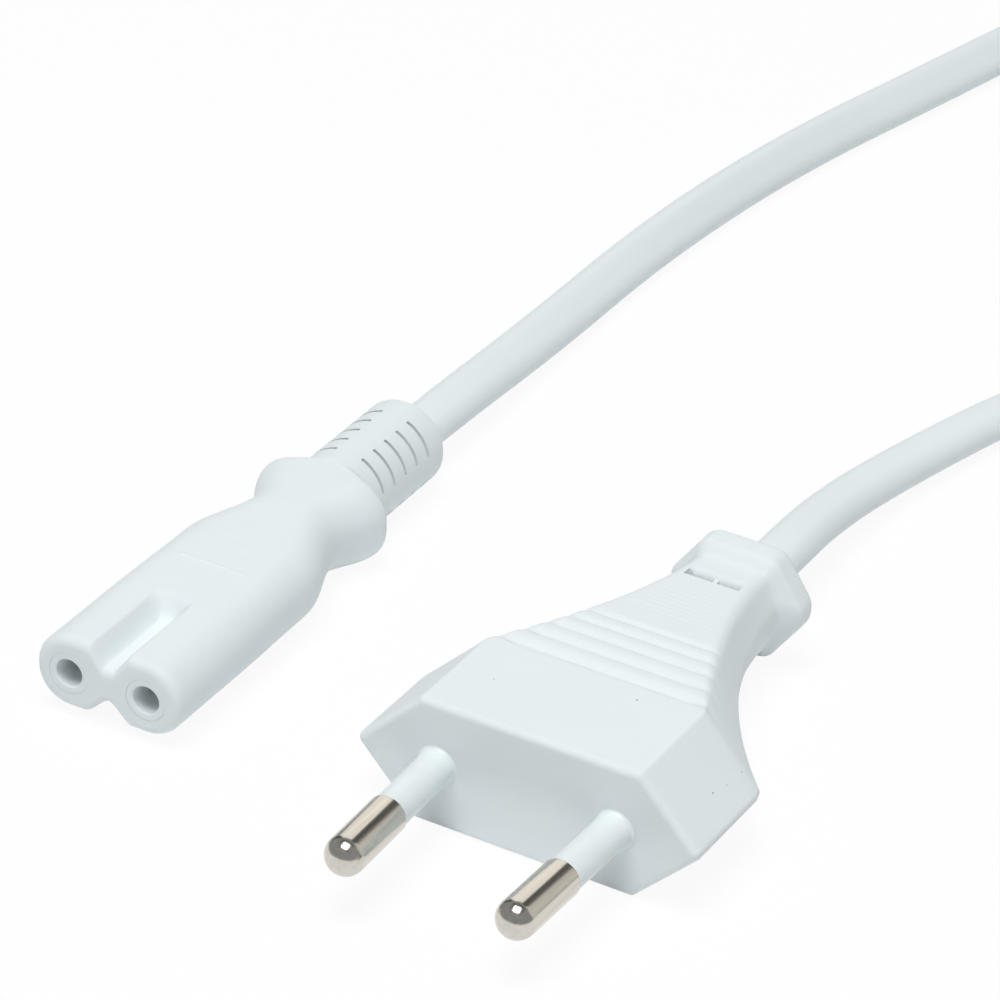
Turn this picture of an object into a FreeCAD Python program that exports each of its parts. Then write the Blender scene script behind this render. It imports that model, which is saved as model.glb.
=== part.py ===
import FreeCAD, Part
import math
import os
import Sketcher

Vector = FreeCAD.Vector
doc = FreeCAD.newDocument("europlug_lead")

# Driving dimensions, in millimetres unless the note says otherwise
sheet = doc.addObject("Spreadsheet::Sheet", "Sizes")
driving = [
    ("pin_length", 19.0, "pin, from the face to its tip"),
    ("pin_diameter", 4.0, "bare metal end of a pin"),
    ("tip_radius", 1.8, "rounding of a pin's tip"),
    ("tip_steps", 3, "straight steps along that rounding, count"),
    ("pin_spread", 18.6, "between pin axes at the face"),
    ("tip_spread", 17.5, "between pin axes at the tips"),
    ("sleeve_length", 9.0, "insulating sleeve, in front of the face"),
    ("sleeve_diameter", 3.66, "outside of the sleeve"),
    ("sleeve_root", 3.0, "sleeve, behind the face"),
    ("shank_diameter", 2.8, "pin under its sleeve, in the bridge and at its crimp barrel"),
    ("barrel_length", 5.0, "crimp barrel behind a pin or a contact"),
    ("barrel_floor", 1.0, "closed end of a crimp barrel"),
    ("body_width", 35.7, "plug across its side edges"),
    ("body_height", 13.4, "plug between its flats"),
    ("face_flat", 23.0, "flat above the pins, across"),
    ("prism_length", 12.6, "straight front of the plug"),
    ("body_length", 45.4, "plug from its face to the collar's back"),
    ("neck_flat", 7.2, "flat of the neck at the collar"),
    ("neck_width", 10.4, "neck across its sides at the collar"),
    ("neck_height", 9.0, "neck at the collar"),
    ("flat_curve", 1.6, "how fast the flats narrow, exponent"),
    ("side_curve", 1.85, "how fast the sides narrow, exponent"),
    ("face_bevel", 0.5, "bevel round the face"),
    ("collar_width", 13.9, "end collar, across"),
    ("collar_height", 10.6, "end collar, upright"),
    ("collar_thickness", 4.0, "end collar, along the cord"),
    ("collar_corner", 3.4, "corner rounding of the collar"),
    ("collar_edge", 1.1, "bevel of the collar's back edge"),
    ("rib_count", 5, "grooves across each flat, count"),
    ("rib_start", 14.2, "first groove, from the face"),
    ("rib_pitch", 2.8, "from the first groove to the second"),
    ("rib_shrink", 0.91, "each pitch as a share of the one before"),
    ("rib_radius", 1.1, "radius of a groove"),
    ("rib_depth", 0.45, "depth of the first groove"),
    ("rib_fade", 0.8, "each depth as a share of the one before"),
    ("window_width", 2.7, "cord window, across"),
    ("window_length", 1.6, "cord window, along the cord"),
    ("window_web", 0.5, "web between two windows"),
    ("window_back", 2.8, "from the windows to the collar"),
    ("bridge_width", 27.0, "pin bridge, across"),
    ("bridge_height", 8.0, "pin bridge, upright"),
    ("bridge_length", 7.5, "pin bridge, along the pins"),
    ("bridge_cover", 1.6, "moulding between the face and the bridge"),
    ("bridge_edge", 1.2, "edge rounding of the bridge"),
    ("cord_width", 5.4, "flat cord, across its two cores"),
    ("cord_thickness", 3.4, "flat cord, the other way"),
    ("core_diameter", 2.3, "one insulated core"),
    ("strand_diameter", 1.3, "bare strands of a core"),
    ("core_steps", 10, "flats round a core and its strands, count"),
    ("core_pitch", 2.4, "between the cores in the cord"),
    ("plug_grip", 16.0, "sheath inside the plug"),
    ("connector_grip", 21.0, "sheath inside the connector"),
    ("core_lead", 3.0, "straight core at a crimp"),
    ("core_tail", 2.0, "straight core at the sheath"),
    ("cord_exit", 4.0, "straight cord behind the connector"),
    ("bend_share", 0.45, "share of a straight run that a bend takes up"),
    ("section_steps", 3, "straight steps round each side of the cord's section, count"),
    ("route_unit", 1.0, "length that the cord's route is given in"),
    ("hole_pitch", 8.6, "between the connector's holes"),
    ("hole_diameter", 2.9, "entry hole of the connector"),
    ("hole_depth", 4.0, "entry hole, in front of its contact"),
    ("contact_outer", 3.4, "outside of a contact tube"),
    ("contact_inner", 2.4, "inside of a contact tube"),
    ("contact_length", 15.0, "contact tube"),
    ("contact_slit", 0.5, "slit that lets the tube spring"),
    ("contact_end", 2.0, "closed end of a contact tube"),
    ("contact_barrel", 3.0, "crimp barrel of a contact"),
    ("carrier_tube", 5.6, "carrier round a contact"),
    ("carrier_web", 2.4, "web between the carrier's tubes, upright"),
    ("carrier_cover", 1.2, "moulding in front of the carrier"),
    ("nose_diameter", 4.4, "carrier's nose round an entry hole"),
    ("mouth_width", 16.2, "connector at its mouth, across"),
    ("mouth_height", 7.8, "connector at its mouth, upright"),
    ("shoulder_at", 27.5, "end of the connector's straight part"),
    ("shoulder_width", 15.4, "connector there, across"),
    ("shoulder_height", 8.2, "connector there, upright"),
    ("waist_at", 35.8, "waist, from the mouth"),
    ("waist_width", 11.6, "waist, across"),
    ("waist_height", 8.8, "waist, upright"),
    ("bulge_at", 40.2, "bulge behind the waist"),
    ("bulge_width", 14.6, "bulge, across"),
    ("bulge_height", 9.1, "bulge, upright"),
    ("relief_at", 44.8, "start of the strain relief"),
    ("relief_diameter", 9.5, "strain relief"),
    ("connector_length", 57.4, "connector, mouth to the relief's back"),
    ("corner_share", 0.45, "connector's corner radius as a share of its height"),
    ("corner_steps", 3, "straight steps round such a corner, count"),
    ("mouth_bevel", 0.6, "bevel round the mouth"),
    ("relief_bevel", 0.8, "bevel at the relief's back"),
    ("channel_width", 4.6, "channel between the lobes, at its rim"),
    ("channel_floor", 2.0, "floor of that channel, across"),
    ("channel_depth", 2.1, "depth of that channel"),
    ("channel_length", 12.4, "channel, from the mouth"),
    ("channel_corner", 0.6, "rounding in the channel's corners"),
    ("relief_slots", 5, "slots along the relief, count"),
    ("slot_start", 1.5, "first slot, from the relief's start"),
    ("slot_width", 0.8, "slot, along the cord"),
    ("slot_pitch", 2.3, "from slot to slot"),
    ("spine_top", 3.0, "uncut spine above and below"),
    ("spine_side", 2.2, "uncut spine at the sides"),
    ("slot_core", 6.2, "uncut core inside the slots, across"),
    ("connector_x", -43.4, "mouth of the connector from the plug, across"),
    ("connector_y", -16.5, "mouth of the connector, along"),
    ("connector_turn", 0.7, "turn of the connector, degrees"),
    ("coil_x", 36.5, "centre of the coil, across"),
    ("coil_y", 167.5, "centre of the coil, along"),
    ("coil_radius", 31.0, "middle of the coiled turns"),
    ("coil_pitch", 3.6, "from turn to turn"),
    ("coil_turns", 4, "turns in a layer, count"),
    ("coil_layer", 5.5, "height of a layer"),
    ("coil_entry", -60.0, "where the plug's run joins the coil, degrees"),
    ("coil_exit", 90.0, "where the connector's run leaves it, degrees"),
    ("stub_length", 22.0, "straight cord beside the coil"),
    ("stub_lead", 17.5, "last straight run before a stub"),
    ("stub_gap", 8.0, "more of that run on the connector's side"),
]
for row, (alias, value, note) in enumerate(driving, start=1):
    sheet.set(f"A{row}", alias)
    sheet.set(f"B{row}", str(value))
    sheet.set(f"C{row}", note)
    sheet.setAlias(f"B{row}", alias)
doc.recompute()


def size(alias):
    return float(sheet.get(alias))


def reckon(text):
    return float(sheet.evalExpression(text.replace("Sizes.", "")))


# Frames: the plug's face, and the connector's mouth
faceY = (size("pin_length") - size("body_length")) / 2
pinHeight = size("body_height") / 2
plugFrame = FreeCAD.Placement(Vector(0, faceY, pinHeight), FreeCAD.Rotation())
connectorHeight = max(size("relief_diameter"), size("bulge_height")) / 2
connectorFrame = FreeCAD.Placement(
    Vector(size("connector_x"), size("connector_y"), connectorHeight),
    FreeCAD.Rotation(Vector(0, 0, 1), size("connector_turn")),
)
alongY = FreeCAD.Rotation(Vector(1, 0, 0), -90)


# Sketches and simple solids
def originPlane(body, role):
    for feature in body.Origin.OriginFeatures:
        if feature.Role == role:
            return feature


def outlineSketch(body, name, loops, at="0", radius=None, role="XZ_Plane"):
    """Closed outlines, each a list of corner expressions, rounded if a radius is given."""
    sketch = body.newObject("Sketcher::SketchObject", name)
    sketch.AttachmentSupport = (originPlane(body, role), "")
    sketch.MapMode = "FlatFace"
    sketch.setExpression("AttachmentOffset.Base.z", f"-({at})")
    for corners in loops:
        addOutline(sketch, corners, radius)
    return sketch


def fixPoint(sketch, geometry, position, xText, yText):
    for kind, text in (("DistanceX", xText), ("DistanceY", yText)):
        value = reckon(text)
        if abs(value) < 1e-9:
            target = -2 if kind == "DistanceX" else -1
            sketch.addConstraint(Sketcher.Constraint("PointOnObject", geometry, position, target))
        elif value > 0:
            index = sketch.addConstraint(Sketcher.Constraint(kind, -1, 1, geometry, position, value))
            sketch.setExpression(f"Constraints[{index}]", text)
        else:
            index = sketch.addConstraint(Sketcher.Constraint(kind, geometry, position, -1, 1, -value))
            sketch.setExpression(f"Constraints[{index}]", f"-({text})")


def addOutline(sketch, corners, radius):
    points = [Vector(reckon(x), reckon(y), 0) for x, y in corners]
    count = len(points)
    if radius is None:
        first = None
        for i in range(count):
            line = sketch.addGeometry(Part.LineSegment(points[i], points[(i + 1) % count]), False)
            first = line if first is None else first
        for i in range(count):
            following = first + (i + 1) % count
            sketch.addConstraint(Sketcher.Constraint("Coincident", first + i, 2, following, 1))
            fixPoint(sketch, first + i, 1, *corners[i])
        return
    rounding = reckon(radius)
    starts, ends, middles = [], [], []
    for i in range(count):
        before = (points[i - 1] - points[i]).normalize()
        after = (points[(i + 1) % count] - points[i]).normalize()
        half = before.getAngle(after) / 2
        reach = rounding / math.tan(half)
        starts.append(points[i] + before * reach)
        ends.append(points[i] + after * reach)
        inward = (before + after).normalize()
        middles.append(points[i] + inward * (rounding / math.sin(half) - rounding))
    lines = []
    for i in range(count):
        lines.append(sketch.addGeometry(Part.LineSegment(ends[i], starts[(i + 1) % count]), False))
    for i in range(count):
        arc = sketch.addGeometry(Part.Arc(starts[i], middles[i], ends[i]), False)
        corner = sketch.addGeometry(Part.Point(points[i]), True)
        entry, leave = arcEnds(sketch, arc, starts[i])
        sketch.addConstraint(Sketcher.Constraint("Tangent", lines[i - 1], 2, arc, entry))
        sketch.addConstraint(Sketcher.Constraint("Tangent", lines[i], 1, arc, leave))
        sketch.addConstraint(Sketcher.Constraint("PointOnObject", corner, 1, lines[i - 1]))
        sketch.addConstraint(Sketcher.Constraint("PointOnObject", corner, 1, lines[i]))
        fixPoint(sketch, corner, 1, *corners[i])
        index = sketch.addConstraint(Sketcher.Constraint("Radius", arc, rounding))
        sketch.setExpression(f"Constraints[{index}]", radius)


def arcEnds(sketch, arc, start):
    """Which end of an arc lies at a point, since arcs are stored turning one way."""
    first = sketch.getPoint(arc, 1)
    return (1, 2) if first.distanceToPoint(start) < 1e-6 else (2, 1)


def rectangle(halfWidth, halfHeight):
    return [
        (f"-{halfWidth}", f"-{halfHeight}"),
        (halfWidth, f"-{halfHeight}"),
        (halfWidth, halfHeight),
        (f"-{halfWidth}", halfHeight),
    ]


def newBody(name, frame):
    body = doc.addObject("PartDesign::Body", name)
    body.Placement = frame
    return body


def pad(body, sketch, length):
    feature = body.newObject("PartDesign::Pad", sketch.Name + "_pad")
    feature.Profile = sketch
    feature.Reversed = True
    feature.setExpression("Length", length)
    return feature


def loft(body, sketches, name):
    feature = body.newObject("PartDesign::AdditiveLoft", name)
    feature.Profile = sketches[0]
    feature.Sections = sketches[1:]
    return feature


def bevelEdges(body, base, name, width, chosen):
    doc.recompute()
    names = [f"Edge{i}" for i, edge in enumerate(base.Shape.Edges, start=1) if chosen(edge)]
    feature = body.newObject("PartDesign::Chamfer", name)
    feature.Base = (base, names)
    feature.setExpression("Size", width)
    return feature


def inPlaneY(edge, y):
    return all(abs(vertex.Point.y - y) < 1e-4 for vertex in edge.Vertexes)


def rod(name, diameter, start, length, x="0"):
    """Round bar along Y, from start on."""
    bar = doc.addObject("Part::Cylinder", name)
    bar.setExpression("Radius", f"({diameter}) / 2")
    bar.setExpression("Height", length)
    bar.Placement = FreeCAD.Placement(Vector(reckon(x), reckon(start), 0), alongY)
    bar.setExpression("Placement.Base.x", x)
    bar.setExpression("Placement.Base.y", start)
    return bar


def block(name, width, length, height, start):
    """Box centred on the Y axis, from start on."""
    box = doc.addObject("Part::Box", name)
    box.setExpression("Length", width)
    box.setExpression("Width", length)
    box.setExpression("Height", height)
    box.setExpression("Placement.Base.x", f"-({width}) / 2")
    box.setExpression("Placement.Base.y", start)
    box.setExpression("Placement.Base.z", f"-({height}) / 2")
    return box


def fuse(name, pieces):
    union = doc.addObject("Part::MultiFuse", name)
    union.Shapes = pieces
    return union


def cut(name, base, tool):
    difference = doc.addObject("Part::Cut", name)
    difference.Base = base
    difference.Tool = tool
    return difference


# Cord paths: straight runs joined by arcs as large as the runs allow
def cordPath(points):
    edges, radii = [], []
    here = points[0]
    for i in range(1, len(points) - 1):
        before = points[i - 1] - points[i]
        after = points[i + 1] - points[i]
        shorter = min(before.Length, after.Length)
        before.normalize()
        after.normalize()
        half = before.getAngle(after) / 2
        reach = size("bend_share") * shorter
        bend = reach * math.tan(half)
        inward = (before + after).normalize()
        enter = points[i] + before * reach
        leave = points[i] + after * reach
        middle = points[i] + inward * (bend / math.sin(half) - bend)
        edges.append(Part.LineSegment(here, enter).toShape())
        edges.append(Part.Arc(enter, middle, leave).toShape())
        radii.append(round(bend, 1))
        here = leave
    edges.append(Part.LineSegment(here, points[-1]).toShape())
    return Part.Wire(edges), radii


def sweep(path, section):
    return path.makePipeShell([section], True, False)


def mitredBar(points, section):
    return Part.makePolygon(points).makePipeShell([section], True, False, 1)


def sidedSection(points, diameter):
    """Many-sided section at the first point, square to the first run."""
    forward = (points[1] - points[0]).normalize()
    across = forward.cross(Vector(0, 0, 1)).normalize()
    up = across.cross(forward)
    steps = int(size("core_steps"))
    rim = []
    for i in range(steps):
        turn = 2 * math.pi * (i + 0.5) / steps
        rim.append(points[0] + (across * math.cos(turn) + up * math.sin(turn)) * diameter / 2)
    return Part.makePolygon(rim + rim[:1])


def flatSection(point, direction):
    """Oblong of the flat cord, its rounded sides in straight steps, lying flat across the direction."""
    across = direction.cross(Vector(0, 0, 1)).normalize()
    up = across.cross(direction).normalize()
    radius = size("cord_thickness") / 2
    reach = size("cord_width") / 2 - radius
    steps = int(size("section_steps"))
    rim = []
    for side in (1, -1):
        for i in range(steps + 1):
            turn = math.pi * (i / steps - 0.5)
            sideways = across * (reach + radius * math.cos(turn))
            rim.append(point + (sideways + up * radius * math.sin(turn)) * side)
    return Part.makePolygon(rim + rim[:1])


def solidFeature(name, shape, frame=FreeCAD.Placement()):
    feature = doc.addObject("Part::Feature", name)
    feature.Shape = shape
    feature.Placement = frame
    return feature


# Plug: pins with their sleeves, in the hard bridge
sides = (("left", -1), ("right", 1))
bridgeBack = "(Sizes.bridge_cover + Sizes.bridge_length)"
barrelBack = f"({bridgeBack} + Sizes.barrel_length)"
barrelFloor = f"({bridgeBack} + Sizes.barrel_floor)"
pins, sleeves, plugCores, plugStrands = [], [], [], []


def pinFrame(side):
    splay = (size("pin_spread") - size("tip_spread")) / 2
    rearward = Vector(side * splay, size("pin_length"), 0).normalize()
    base = Vector(side * size("pin_spread") / 2, 0, 0)
    return FreeCAD.Placement(base, FreeCAD.Rotation(Vector(0, 0, 1), rearward))


def makePin(label, side, strands):
    """Turned pin, its crimp barrel pressed round the strands."""
    body = newBody(f"pin_{label}_blank", plugFrame.multiply(pinFrame(side)))
    tipSteps = int(size("tip_steps"))
    tip = []
    for step in range(tipSteps + 1):
        turn = math.pi / 2 * step / tipSteps
        tip.append((
            f"Sizes.pin_diameter / 2 - Sizes.tip_radius * {1 - math.sin(turn)}",
            f"-Sizes.pin_length + Sizes.tip_radius * {1 - math.cos(turn)}",
        ))
    profile = outlineSketch(body, f"pin_{label}_profile", [[("0", "-Sizes.pin_length")] + tip + [
        ("Sizes.pin_diameter / 2", "-Sizes.sleeve_length"),
        ("Sizes.shank_diameter / 2", "-Sizes.sleeve_length"),
        ("Sizes.shank_diameter / 2", barrelBack),
        ("0", barrelBack),
    ]])
    turned = body.newObject("PartDesign::Revolution", f"pin_{label}_turned")
    turned.Profile = profile
    turned.ReferenceAxis = (profile, ["V_Axis"])
    turned.Angle = 360
    return cut(f"pin_{label}", body, strands)


def makeSleeve(label, side):
    length = "Sizes.sleeve_length + Sizes.sleeve_root"
    outer = rod(f"sleeve_{label}_outer", "Sizes.sleeve_diameter", "-Sizes.sleeve_length", length)
    inner = rod(f"sleeve_{label}_inner", "Sizes.shank_diameter", "-Sizes.sleeve_length", length)
    sleeve = cut(f"sleeve_{label}", outer, inner)
    alongPin = FreeCAD.Placement(Vector(), FreeCAD.Rotation(Vector(1, 0, 0), 90))
    sleeve.Placement = plugFrame.multiply(pinFrame(side)).multiply(alongPin)
    return sleeve


def makeCore(label, place, points, bareStart, frame):
    """Insulation along the points, and strands that start further back, in the crimp."""
    core = mitredBar(points, sidedSection(points, size("core_diameter")))
    barePoints = [bareStart] + points[1:]
    strands = mitredBar(barePoints, sidedSection(barePoints, size("strand_diameter")))
    return (
        solidFeature(f"{place}_strands_{label}", strands, frame),
        solidFeature(f"{place}_core_{label}", core.cut(strands), frame),
    )


for label, side in sides:
    sleeves.append(makeSleeve(label, side))
    axis = pinFrame(side)
    sheathFront = size("body_length") - size("plug_grip")
    coreX = side * size("core_pitch") / 2
    crimp = reckon(barrelBack)
    strands, core = makeCore(label, "plug", [
        axis.multVec(Vector(0, 0, crimp)),
        axis.multVec(Vector(0, 0, crimp + size("core_lead"))),
        Vector(coreX, sheathFront - size("core_tail"), 0),
        Vector(coreX, sheathFront, 0),
    ], axis.multVec(Vector(0, 0, reckon(barrelFloor))), plugFrame)
    pins.append(makePin(label, side, strands))
    plugStrands.append(strands)
    plugCores.append(core)

bridgeBlock = block("bridge_block", "Sizes.bridge_width", "Sizes.bridge_length", "Sizes.bridge_height",
                    "Sizes.bridge_cover")
doc.recompute()
bridgeRound = doc.addObject("Part::Fillet", "bridge_round")
bridgeRound.Base = bridgeBlock
bridgeRound.Edges = [
    (i, size("bridge_edge"), size("bridge_edge"))
    for i, edge in enumerate(bridgeBlock.Shape.Edges, start=1)
    if abs(edge.tangentAt(edge.FirstParameter).y) > 0.99
]
bridgeRound.Placement = plugFrame
pinBridge = cut("pin_bridge", bridgeRound, fuse("bridge_bores", pins + sleeves))

# Cord: chosen points from the plug to the coil, and from the connector to the coil
ringHalf = "((Sizes.coil_turns - 1) / 2 * Sizes.coil_pitch + Sizes.cord_thickness / 2)"
stubRadius = size("coil_radius") + reckon(ringHalf) - size("cord_width") / 2
coilCentre = Vector(size("coil_x"), size("coil_y"), 0)


def stubEnds(angleAlias, layer, sense):
    """Ends of the straight cord that joins the coil: free end first, then where it touches the coil."""
    angle = math.radians(size(angleAlias))
    height = Vector(0, 0, (layer + 0.5) * size("coil_layer"))
    outward = Vector(math.cos(angle), math.sin(angle), 0)
    heading = Vector(-math.sin(angle), math.cos(angle), 0) * sense
    touch = coilCentre + outward * stubRadius + height
    return touch - heading * size("stub_length"), touch


def cordTube(name, points):
    path, radii = cordPath(points)
    direction = (points[1] - points[0]).normalize()
    section = flatSection(points[0], direction)
    tube = sweep(path, section)
    share = tube.Volume / (Part.Face(section).Area * path.Length)
    print(name, "bends", radii, "length", round(path.Length, 1), "volume share", round(share, 4))
    return solidFeature(name, tube)


def onRoute(x, y, z):
    return Vector(x, y, z) * size("route_unit")


def leadIn(free, touch):
    heading = (touch - free).normalize()
    return free - heading * size("stub_lead")


plugStub = stubEnds("coil_entry", 0, 1)
plugRun = cordTube("cord_plug_run", [
    plugFrame.multVec(Vector(0, size("body_length") - size("plug_grip"), 0)),
    plugFrame.multVec(Vector(0, size("body_length") + size("cord_exit"), 0)),
    onRoute(-1.8, 53.5, 4.2),
    onRoute(-0.2, 71.5, 2.3),
    onRoute(4.2, 88.4, 2.3),
    onRoute(11.2, 104.0, 2.5),
    leadIn(*plugStub),
    plugStub[0],
])
connectorStub = stubEnds("coil_exit", 1, -1)
beforeStub = leadIn(*connectorStub)
connectorRun = cordTube("cord_connector_run", [
    connectorFrame.multVec(Vector(0, size("connector_length") - size("connector_grip"), 0)),
    connectorFrame.multVec(Vector(0, size("connector_length") + size("cord_exit"), 0)),
    onRoute(-45.4, 72.0, 2.5),
    onRoute(-45.8, 100.0, 2.5),
    onRoute(-43.2, 128.0, 2.5),
    onRoute(-37.5, 155.5, 2.5),
    onRoute(-31.6, 181.0, 3.2),
    beforeStub - Vector(size("stub_gap"), 0, 0),
    connectorStub[0],
])

ringBody = newBody("coil_ring", FreeCAD.Placement(coilCentre, FreeCAD.Rotation()))
ringInner = f"Sizes.coil_radius - {ringHalf}"
ringOuter = f"Sizes.coil_radius + {ringHalf}"
ringTop = "2 * Sizes.coil_layer"
ringProfile = outlineSketch(ringBody, "coil_ring_profile", [[
    (ringInner, "0"),
    (ringOuter, "0"),
    (ringOuter, ringTop),
    (ringInner, ringTop),
]])
ringTurned = ringBody.newObject("PartDesign::Revolution", "coil_ring_turned")
ringTurned.Profile = ringProfile
ringTurned.ReferenceAxis = (ringProfile, ["V_Axis"])
ringTurned.Angle = 360
stubs = []
for name, (free, touch) in (("plug_stub", plugStub), ("connector_stub", connectorStub)):
    section = flatSection(free, (touch - free).normalize())
    stubs.append(solidFeature(name, Part.Face(section).extrude(touch - free)))
coil = fuse("cord_coil", [ringBody] + stubs)

# Plug: soft moulding over bridge, pins, cores and cord
plugShell = newBody("plug_shell", plugFrame)
neckSteps = 5
neckLength = "(Sizes.body_length - Sizes.collar_thickness - Sizes.prism_length)"


def plugSection(name, at, share):
    """Hexagon of the plug: share 0 is the face, share 1 the neck at the collar."""
    flat = f"(Sizes.neck_flat + (Sizes.face_flat - Sizes.neck_flat) * {1 - share} ^ Sizes.flat_curve) / 2"
    wide = f"(Sizes.neck_width + (Sizes.body_width - Sizes.neck_width) * {1 - share} ^ Sizes.side_curve) / 2"
    high = f"(Sizes.body_height + (Sizes.neck_height - Sizes.body_height) * {share}) / 2"
    corners = [
        (wide, "0"),
        (flat, high),
        (f"-{flat}", high),
        (f"-{wide}", "0"),
        (f"-{flat}", f"-{high}"),
        (flat, f"-{high}"),
    ]
    return outlineSketch(plugShell, name, [corners], at)


faceSketch = plugSection("plug_face", "0", 0)
prism = pad(plugShell, faceSketch, "Sizes.prism_length")
neckSketches = []
for step in range(neckSteps + 1):
    share = step / neckSteps
    neckSketches.append(plugSection(f"neck_{step}", f"Sizes.prism_length + {neckLength} * {share}", share))
loft(plugShell, neckSketches, "neck")
collarOutline = rectangle("Sizes.collar_width / 2", "Sizes.collar_height / 2")
collarFront = "Sizes.body_length - Sizes.collar_thickness"
collarSketch = outlineSketch(plugShell, "collar", [collarOutline], collarFront, "Sizes.collar_corner")
collar = pad(plugShell, collarSketch, "Sizes.collar_thickness")
bevelled = bevelEdges(plugShell, collar, "collar_back", "Sizes.collar_edge",
                      lambda edge: inPlaneY(edge, size("body_length")))
bevelEdges(plugShell, bevelled, "face_bevel", "Sizes.face_bevel", lambda edge: inPlaneY(edge, 0))

# Grooves across both flats, and the windows down to the cord behind them
moulding = []
slope = (size("body_height") - size("neck_height")) / 2 / reckon(neckLength)
acrossX = FreeCAD.Rotation(Vector(0, 1, 0), 90)
for up in (1, -1):
    grooveY = size("rib_start")
    pitch = size("rib_pitch")
    depth = size("rib_depth")
    for number in range(int(size("rib_count"))):
        surface = size("body_height") / 2 - slope * (grooveY - size("prism_length"))
        groove = doc.addObject("Part::Cylinder", f"groove_{'top' if up > 0 else 'bottom'}_{number + 1}")
        groove.setExpression("Radius", "Sizes.rib_radius")
        groove.setExpression("Height", "Sizes.body_width")
        centreZ = up * (surface - depth + size("rib_radius"))
        groove.Placement = FreeCAD.Placement(Vector(-size("body_width") / 2, grooveY, centreZ), acrossX)
        moulding.append(groove)
        grooveY += pitch
        pitch *= size("rib_shrink")
        depth *= size("rib_fade")
    for label, side in sides:
        window = doc.addObject("Part::Box", f"window_{'top' if up > 0 else 'bottom'}_{label}")
        window.setExpression("Length", "Sizes.window_width")
        window.setExpression("Width", "Sizes.window_length")
        window.setExpression("Height", "Sizes.neck_height / 2")
        middleX = side * (size("window_web") + size("window_width")) / 2
        windowY = size("body_length") - size("collar_thickness") - size("window_back")
        low = size("cord_thickness") / 2 if up > 0 else -size("cord_thickness") / 2 - size("neck_height") / 2
        window.Placement = FreeCAD.Placement(
            Vector(middleX - size("window_width") / 2, windowY - size("window_length") / 2, low),
            FreeCAD.Rotation(),
        )
        moulding.append(window)
plugCuts = fuse("plug_cuts", moulding)
plugCuts.Placement = plugFrame
ribbedShell = cut("plug_ribbed", plugShell, plugCuts)
plugInside = fuse("plug_inside", [pinBridge, plugRun] + pins + sleeves + plugCores + plugStrands)
plugBody = cut("plug_body", ribbedShell, plugInside)

# Connector: contacts in their hard carrier
contactBack = "(Sizes.hole_depth + Sizes.contact_length)"
crimpFloor = f"({contactBack} + Sizes.barrel_floor)"
carrierLength = f"({contactBack} - Sizes.carrier_cover)"
contacts, connectorCores, connectorStrands, seats, tubes = [], [], [], [], []


def makeContact(label, side, strands):
    """Slit tube, its crimp barrel pressed round the strands."""
    x = f"{side} * Sizes.hole_pitch / 2"
    outside = fuse(f"contact_{label}_outside", [
        rod(f"contact_{label}_tube", "Sizes.contact_outer", "Sizes.hole_depth", "Sizes.contact_length", x),
        rod(f"contact_{label}_barrel", "Sizes.contact_barrel", contactBack, "Sizes.barrel_length", x),
    ])
    slitLength = "Sizes.contact_length - 2 * Sizes.contact_end"
    slit = block(f"contact_{label}_slit", "Sizes.contact_slit", slitLength, "Sizes.contact_outer",
                 "Sizes.hole_depth")
    slit.setExpression("Placement.Base.x", f"{x} - Sizes.contact_slit / 2")
    slit.setExpression("Placement.Base.z", "0")
    inside = fuse(f"contact_{label}_inside", [
        rod(f"contact_{label}_bore", "Sizes.contact_inner", "Sizes.hole_depth",
            "Sizes.contact_length - Sizes.contact_end", x),
        slit,
    ])
    sprung = cut(f"contact_{label}_sprung", outside, inside)
    sprung.Placement = connectorFrame
    return cut(f"contact_{label}", sprung, strands)


for label, side in sides:
    x = f"{side} * Sizes.hole_pitch / 2"
    seats.append(rod(f"seat_{label}", "Sizes.contact_outer", "Sizes.hole_depth", "Sizes.contact_length", x))
    seats.append(rod(f"entry_{label}", "Sizes.hole_diameter", "0", "Sizes.hole_depth", x))
    tubes.append(rod(f"carrier_tube_{label}", "Sizes.carrier_tube", "Sizes.carrier_cover", carrierLength, x))
    tubes.append(rod(f"carrier_nose_{label}", "Sizes.nose_diameter", "0", "Sizes.carrier_cover", x))
    holeX = side * size("hole_pitch") / 2
    coreX = side * size("core_pitch") / 2
    sheathFront = size("connector_length") - size("connector_grip")
    crimp = reckon(contactBack) + size("barrel_length")
    strands, core = makeCore(label, "connector", [
        Vector(holeX, crimp, 0),
        Vector(holeX, crimp + size("core_lead"), 0),
        Vector(coreX, sheathFront - size("core_tail"), 0),
        Vector(coreX, sheathFront, 0),
    ], Vector(holeX, reckon(crimpFloor), 0), connectorFrame)
    contacts.append(makeContact(label, side, strands))
    connectorStrands.append(strands)
    connectorCores.append(core)

carrierWeb = block("carrier_web", "Sizes.hole_pitch", carrierLength, "Sizes.carrier_web",
                   "Sizes.carrier_cover")
carrierSolid = fuse("carrier_solid", tubes + [carrierWeb])
carrierSolid.Placement = connectorFrame
seatVoid = fuse("seat_void", seats)
seatVoid.Placement = connectorFrame
carrier = cut("contact_carrier", carrierSolid, seatVoid)

# Connector: soft moulding with its channels and slotted relief
connectorShell = newBody("connector_shell", connectorFrame)


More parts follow.
